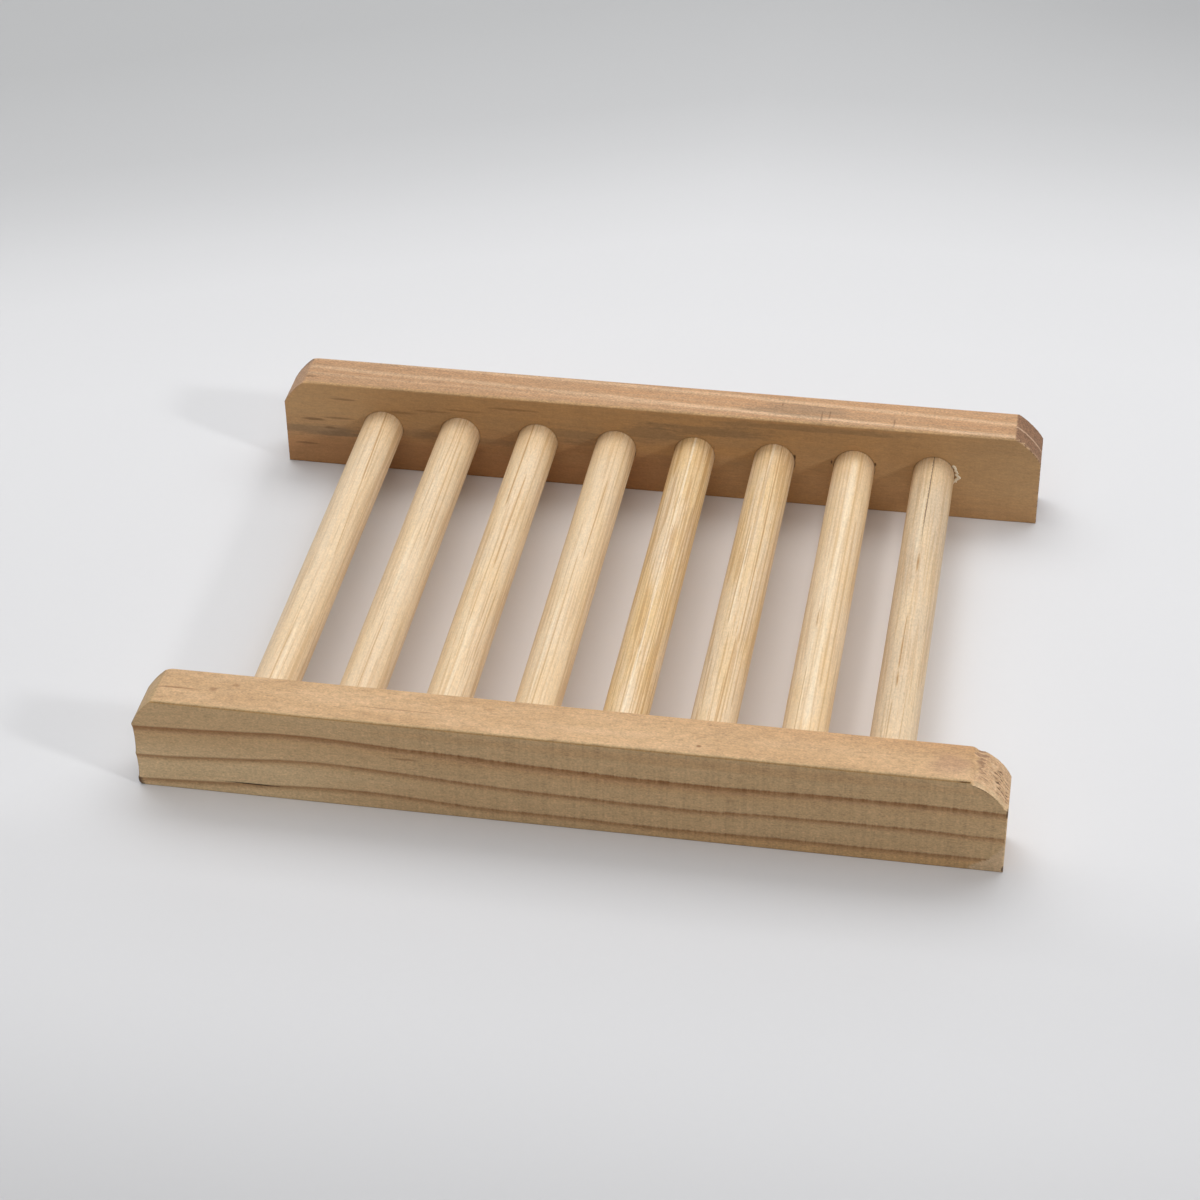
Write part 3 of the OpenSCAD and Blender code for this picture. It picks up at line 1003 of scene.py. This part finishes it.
def set_glue(shades):
    """Hard, slightly glossy glue, cream with darker clots."""
    glue = Finish("set_glue")
    clots = glue.noise((1.6, 1.6, 1.6), 2.0, 3.0, 0.6)
    grit = glue.noise((7.0, 7.0, 7.0), 5.0, 2.0, 0.6)
    base = glue.mix(glue.rise(clots, 0.45, 0.75) * 0.35, shades.glue, tint(206, 180, 136))
    base = glue.brighten(base, 1.0 + (grit - 0.5) * 0.3)
    return glue.surface(base, 0.45 + (clots - 0.5) * 0.3, clots + grit * 0.4, 0.4, 0.1, 0.5)


class SOAPDISH_OT_front_rail(bpy.types.Operator):
    """Shape the front rail, with its torn right end and worn left end, and finish it."""

    bl_idname = "soap_dish.front_rail"
    bl_label = "Front rail"

    def execute(self, context):
        rails = context.scene.soap_dish_rails
        reaches = (rails.left_reach / MM, rails.front_right_reach / MM)
        drop = rails.front_drop / MM
        radii = (rails.corner_radius / MM, rails.torn_radius / MM)
        rail = shape_rail(
            "front_rail_shaped",
            FRONT_BOX,
            inner_side=1,
            reaches=reaches,
            drop=drop,
            radii=radii,
            rails=rails,
            dowels=context.scene.soap_dish_dowels,
            steps=(0.16, 1.2, 0.16, 0.25),
            worn_corner=rails.worn_corner / MM,
            holes=[(0.0, 0.0, 0.0)] * len(DOWEL_NAMES),
            ragged=0.18,
        )
        radius = radii[1]
        arc = corner_arc(HALF_LENGTH, TOP, reaches[1], drop, radius)
        foot = TOP - drop

        def on_arc(x, y, z):
            if x < arc[0]:
                return 0.0
            out = smooth(math.hypot(x - arc[0], z - arc[1]), radius - 0.5, radius - 0.3)
            return out * smooth(x, 54.4, 55.4) * smooth(z, foot - 0.1, foot + 0.8)

        def on_outer_side(x, y, z):
            return on_arc(x, y, z) * smooth(y, -38.4, -43.5)

        def on_patch(x, y, z):
            return on_arc(x, y, z) * smooth(x, 56.4, 57.6) * smooth(y, -38.4, -40.0)

        def on_chip(x, y, z):
            away = math.hypot((x - 55.6) / 0.9, (y + 38.2) / 1.2)
            return on_arc(x, y, z) * smooth(away, 1.0, 0.4)

        def on_lip(x, y, z):
            return on_arc(x, y, z) * smooth(y, -44.2, -44.8)

        def on_shoulder(x, y, z):
            across = smooth(x, -55.6, -57.2) * smooth(y, -41.5, -38.5)
            return across * smooth(z, foot + 0.6, foot + 2.4)

        def on_left_end(x, y, z):
            return smooth(x, -59.0, -59.9)

        def on_top_edge(x, y, z):
            return smooth(y, -44.6, -44.95) * smooth(z, 14.7, 15.1)

        def between_lines(x, y, z):
            heights = [1.3, 5.5, 10.5]
            weight = 0.0
            for low, high in zip(heights, heights[1:]):
                if low < z < high:
                    weight = math.sin(math.pi * (z - low) / (high - low)) ** 0.45
            return weight * smooth(x, -58.6, -59.9)

        press(rail, "flatter outer side", on_outer_side, -0.36, "Z")
        press(rail, "slivers", on_patch, -0.30, "Z", (0.6, 0.17, 0.6), shift=3.0)
        press(rail, "torn fibres", on_arc, -0.16, "Z", (0.30, 0.15, 0.24), shift=9.0)
        press(rail, "chip", on_chip, -0.22, "Z")
        press(rail, "ragged lip", on_lip, -0.30, "Z", (0.4, 0.5, 0.4), shift=13.0)
        press(rail, "end hollows", between_lines, 0.22, "X")
        press(rail, "left shoulder", on_shoulder, -0.20, "Z")
        press(rail, "left end", on_left_end, 0.04, "X", (1.0, 0.9, 0.6))
        press(rail, "top edge", on_top_edge, -0.05, "Z", (3.0, 1.0, 1.0), shift=5.0)
        wood = front_rail_wood(context.scene.soap_dish_colours)
        finish_piece(rail, wood, "front_rail_wood", "front_rail")
        return {"FINISHED"}


class SOAPDISH_OT_back_rail(bpy.types.Operator):
    """Shape the back rail, with its sawn ends and its sockets, and finish it."""

    bl_idname = "soap_dish.back_rail"
    bl_label = "Back rail"

    def execute(self, context):
        rails = context.scene.soap_dish_rails
        rail = shape_rail(
            "back_rail_shaped",
            BACK_BOX,
            inner_side=-1,
            reaches=(rails.left_reach / MM, rails.back_right_reach / MM),
            drop=rails.back_drop / MM,
            radii=(rails.corner_radius / MM, rails.corner_radius / MM),
            rails=rails,
            dowels=context.scene.soap_dish_dowels,
            steps=(0.20, 1.5, 0.20, 0.30),
            worn_corner=0.0,
            holes=[(-0.05, 0.0, 0.0)] * 5 + [(-0.04, 0.03, 0.0), (-0.04, 0.0, 0.01), (-0.05, 0.0, 0.01)],
            ragged=0.05,
        )

        def on_ends(x, y, z):
            return smooth(abs(x), 56.0, 57.5)

        def on_inner_edge(x, y, z):
            return smooth(y, 38.0, 37.6) * smooth(z, 14.6, 15.1)

        press(rail, "sawn ends", on_ends, -0.08, "NORMAL", (0.5, 0.4, 0.4), shift=2.0)
        press(rail, "top edge", on_inner_edge, -0.14, "Z", (1.6, 1.0, 1.0), shift=7.0)
        wood = back_rail_wood(context.scene.soap_dish_colours)
        finish_piece(rail, wood, "back_rail_wood", "back_rail")
        return {"FINISHED"}


class SOAPDISH_OT_dowels(bpy.types.Operator):
    """Turn one dowel, copy it into each pair of sockets, and finish each copy in its own grain."""

    bl_idname = "soap_dish.dowels"
    bl_label = "Dowels"

    def execute(self, context):
        sizes = context.scene.soap_dish_dowels
        bpy.ops.object.select_all(action="DESELECT")
        bpy.ops.mesh.primitive_cylinder_add(
            vertices=sizes.sides,
            radius=DOWEL_RADIUS,
            depth=DOWEL_LENGTH,
            rotation=(math.radians(90), 0.0, 0.0),
        )
        first = added("dowel_turned")
        bpy.ops.object.mode_set(mode="EDIT")
        select_edges(first, lambda a, b: abs(a.y - b.y) < NEAR)
        bpy.ops.mesh.bevel(offset=sizes.bevel / MM, segments=2, affect="EDGES")
        score(1, spaced(-DOWEL_LENGTH / 2 + 1.0, DOWEL_LENGTH / 2 - 1.0, 1.0))
        bpy.ops.object.mode_set(mode="OBJECT")
        for index, name in enumerate(DOWEL_NAMES):
            select_only(first)
            bpy.ops.object.duplicate(linked=False)
            dowel = bpy.context.active_object
            dowel.name = f"{name}_turned"
            dowel.data.name = dowel.name
            press(dowel, "out of round", everywhere, -0.06, grain=(2.2, 30.0, 2.2), shift=17.0 * index)
            press(dowel, "raised grain", everywhere, -0.03, grain=(0.5, 9.0, 0.5), shift=5.0 * index)
            front = dowel_axis(index, -INNER)
            back = dowel_axis(index, INNER)
            dowel.location = ((front + back) / 2, 0.0, DOWEL_HEIGHT)
            dowel.rotation_euler = (0.0, 0.0, -math.atan((back - front) / (2 * INNER)))
            bpy.ops.object.transform_apply(location=True, rotation=True, scale=True)
            wood = dowel_wood(index, context.scene.soap_dish_colours)
            finish_piece(dowel, wood, "dowel_wood", name)
        bpy.data.objects.remove(first)
        return {"FINISHED"}


class SOAPDISH_OT_glue(bpy.types.Operator):
    """Finish the pads of set glue in the sockets, and add the crumbs squeezed out beside the last dowel."""

    bl_idname = "soap_dish.glue"
    bl_label = "Set glue"

    def execute(self, context):
        finish = set_glue(context.scene.soap_dish_colours)
        for name in ("front_socket_glue", "back_socket_glue"):
            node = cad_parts[name]
            node.data.materials.clear()
            node.data.materials.append(finish)
        parts = []
        for x, z, size in GLUE_CRUMBS:
            bpy.ops.object.select_all(action="DESELECT")
            bpy.ops.mesh.primitive_ico_sphere_add(
                subdivisions=3, radius=size, location=(x, INNER, z), scale=(1.0, 0.9, 1.1)
            )
            parts.append(added("glue_crumbs"))
        for part in parts:
            part.select_set(True)
        bpy.ops.object.join()
        crumbs = bpy.context.active_object
        crumbs.name = "glue_crumbs"
        crumbs.data.name = "glue_crumbs"
        apply_modifier(crumbs, "REMESH", mode="VOXEL", voxel_size=0.05)
        press(crumbs, "lumps", everywhere, 0.14, grain=(0.12, 0.12, 0.12), middle=0.5)
        finish_piece(crumbs, finish, "set_glue")
        return {"FINISHED"}


class SOAPDISH_OT_stage(bpy.types.Operator):
    """Lay a pale floor, hang soft lamps round the dish and set up the camera."""

    bl_idname = "soap_dish.stage"
    bl_label = "Stage"

    def execute(self, context):
        settings = context.scene.soap_dish_stage
        lay_floor(settings)
        for name, watts, width, depth, place in LAMPS:
            hang_lamp(name, width, depth, getattr(settings, watts), place)
        light_world(context.scene, settings)
        place_camera(context.scene, settings)
        context.scene.view_settings.view_transform = "Standard"
        return {"FINISHED"}


def lay_floor(settings):
    """A pale floor with painted shade and light: darker in front, at the sides and far behind, with a painted
    shadow in front of the front rail and painted warm light between the rails.
    """
    bpy.ops.object.select_all(action="DESELECT")
    bpy.ops.mesh.primitive_plane_add(size=6.0, location=(0.0, 0.0, 0.0))
    floor = added("floor")
    paper = Finish("pale_floor")
    x = paper.axis("X")
    y = paper.axis("Y")
    cloud = paper.noise((0.004, 0.006, 0.004), 3.0, 1.0, 0.5)
    # Painted shade: the floor darkens far behind the dish, most of all far back on the right
    beyond = y - paper.math("MINIMUM", x, 0.0) * 0.42 + (cloud - 0.5) * 30.0
    far_stops = ((85, 0.0), (120, 0.09), (140, 0.26), (160, 0.50), (180, 0.69), (230, 0.91), (320, 1.0))
    far = paper.ramp(beyond, far_stops)
    corner = paper.rise(x, 10.0, 110.0) * paper.rise(y, 165.0, 260.0)
    # Painted shade towards the front and at the sides, and a painted shadow in front of the front rail
    near = paper.rise(y, -49.0, -62.0) * 0.06 + paper.rise(y, -80.0, -150.0) * 0.27
    sides = paper.rise(paper.math("ABSOLUTE", x, 0.0), 50.0, 130.0) * paper.rise(y, 30.0, -70.0)
    near = near + sides * 0.05 + paper.spot((12.0, -51.0, 0.0), (56.0, 10.0, 5.0), soft=0.7) * 0.09
    shade = paper.mix(far, settings.floor_near, settings.floor_far_shade)
    shade = paper.mix(corner * 0.35, shade, settings.floor_corner_shade)
    shade = paper.brighten(shade, 1.0 - near)
    # Painted warm light that the wood throws onto the floor between the rails
    between = paper.band(x, -48.0, 48.0, 8.0) * paper.band(y, -42.0, 40.0, 8.0)
    shade = paper.mix(between * 0.5, shade, settings.floor_warm_light)
    grit = paper.noise((0.8, 0.8, 0.8), 8.0, 2.0, 0.6)
    shade = paper.brighten(shade, 1.0 + (grit - 0.5) * 0.012)
    finish = paper.surface(shade, 0.7, grit, 0.02, 0.05, 0.2)
    floor.data.materials.append(finish)


def hang_lamp(name, width, depth, watts, place):
    """A soft lamp that points at the middle of the dish."""
    lamp = bpy.data.lights.new(name, "AREA")
    lamp.shape = "RECTANGLE"
    lamp.size = width
    lamp.size_y = depth
    lamp.energy = watts
    holder = bpy.data.objects.new(name, lamp)
    bpy.context.scene.collection.objects.link(holder)
    holder.location = place
    holder.rotation_euler = (-Vector(place)).to_track_quat("-Z", "Y").to_euler()


def light_world(scene, settings):
    """Even fill light, and a pale backdrop where the camera or a reflection looks past the floor."""
    world = bpy.data.worlds.new("studio")
    scene.world = world
    world.use_nodes = True
    studio = Tree(world.node_tree)
    seen = studio.node("ShaderNodeLightPath", {}, {}, "Is Camera Ray")
    for ray in ("Is Glossy Ray", "Is Transmission Ray"):
        seen = studio.math("MAXIMUM", seen, studio.node("ShaderNodeLightPath", {}, {}, ray))
    sockets = {"Color": (1.0, 1.0, 1.0, 1.0), "Strength": settings.fill}
    fill = studio.node("ShaderNodeBackground", {}, sockets)
    sockets = {"Color": opaque(settings.backdrop), "Strength": 1.0}
    backdrop = studio.node("ShaderNodeBackground", {}, sockets)
    choice = studio.node("ShaderNodeMixShader", {}, {0: seen, 1: fill, 2: backdrop})
    studio.node("ShaderNodeOutputWorld", {}, {"Surface": choice})


def place_camera(scene, settings):
    """The camera at the photograph's angle, turned a little about its own line of sight."""
    azimuth = settings.azimuth
    elevation = settings.elevation
    back = Vector((
        math.sin(azimuth) * math.cos(elevation),
        -math.cos(azimuth) * math.cos(elevation),
        math.sin(elevation),
    ))
    right = (-back).cross(Vector((0.0, 0.0, 1.0))).normalized()
    down = (-back).cross(right)
    turn_cos = math.cos(settings.roll)
    turn_sin = math.sin(settings.roll)
    image_right = right * turn_cos + down * turn_sin
    image_down = down * turn_cos - right * turn_sin
    data = bpy.data.cameras.new("camera")
    data.sensor_width = 36.0
    data.lens = settings.lens
    data.clip_start = 0.01
    data.clip_end = 20.0
    camera = bpy.data.objects.new("camera", data)
    scene.collection.objects.link(camera)
    axes = Matrix((image_right, -image_down, back)).transposed()
    place = settings.aim + back * settings.distance
    camera.matrix_world = Matrix.Translation(place) @ axes.to_4x4()
    scene.camera = camera


STEPS = (
    SOAPDISH_OT_stage,
    SOAPDISH_OT_front_rail,
    SOAPDISH_OT_back_rail,
    SOAPDISH_OT_dowels,
    SOAPDISH_OT_glue,
)
GROUPS = {
    "soap_dish_rails": RailSizes,
    "soap_dish_dowels": DowelSizes,
    "soap_dish_colours": DishColours,
    "soap_dish_stage": StageSettings,
}


class SOAPDISH_PT_panel(bpy.types.Panel):
    """The steps that build the soap dish, and the sizes and colours that they use."""

    bl_label = "Soap dish"
    bl_idname = "SOAPDISH_PT_panel"
    bl_space_type = "VIEW_3D"
    bl_region_type = "UI"
    bl_category = "Soap dish"

    def draw(self, context):
        for step in STEPS:
            self.layout.operator(step.bl_idname)
        for name, group in GROUPS.items():
            box = self.layout.box()
            for setting in group.__annotations__:
                box.prop(getattr(context.scene, name), setting)


def register():
    for group in (*GROUPS.values(), *STEPS, SOAPDISH_PT_panel):
        bpy.utils.register_class(group)
    for name, group in GROUPS.items():
        setattr(bpy.types.Scene, name, bpy.props.PointerProperty(type=group))


def unregister():
    for name in GROUPS:
        delattr(bpy.types.Scene, name)
    for group in (SOAPDISH_PT_panel, *STEPS, *GROUPS.values()):
        bpy.utils.unregister_class(group)


def main():
    register()
    bpy.ops.soap_dish.stage()
    bpy.ops.soap_dish.front_rail()
    bpy.ops.soap_dish.back_rail()
    bpy.ops.soap_dish.dowels()
    bpy.ops.soap_dish.glue()


if __name__ == "__main__":
    main()
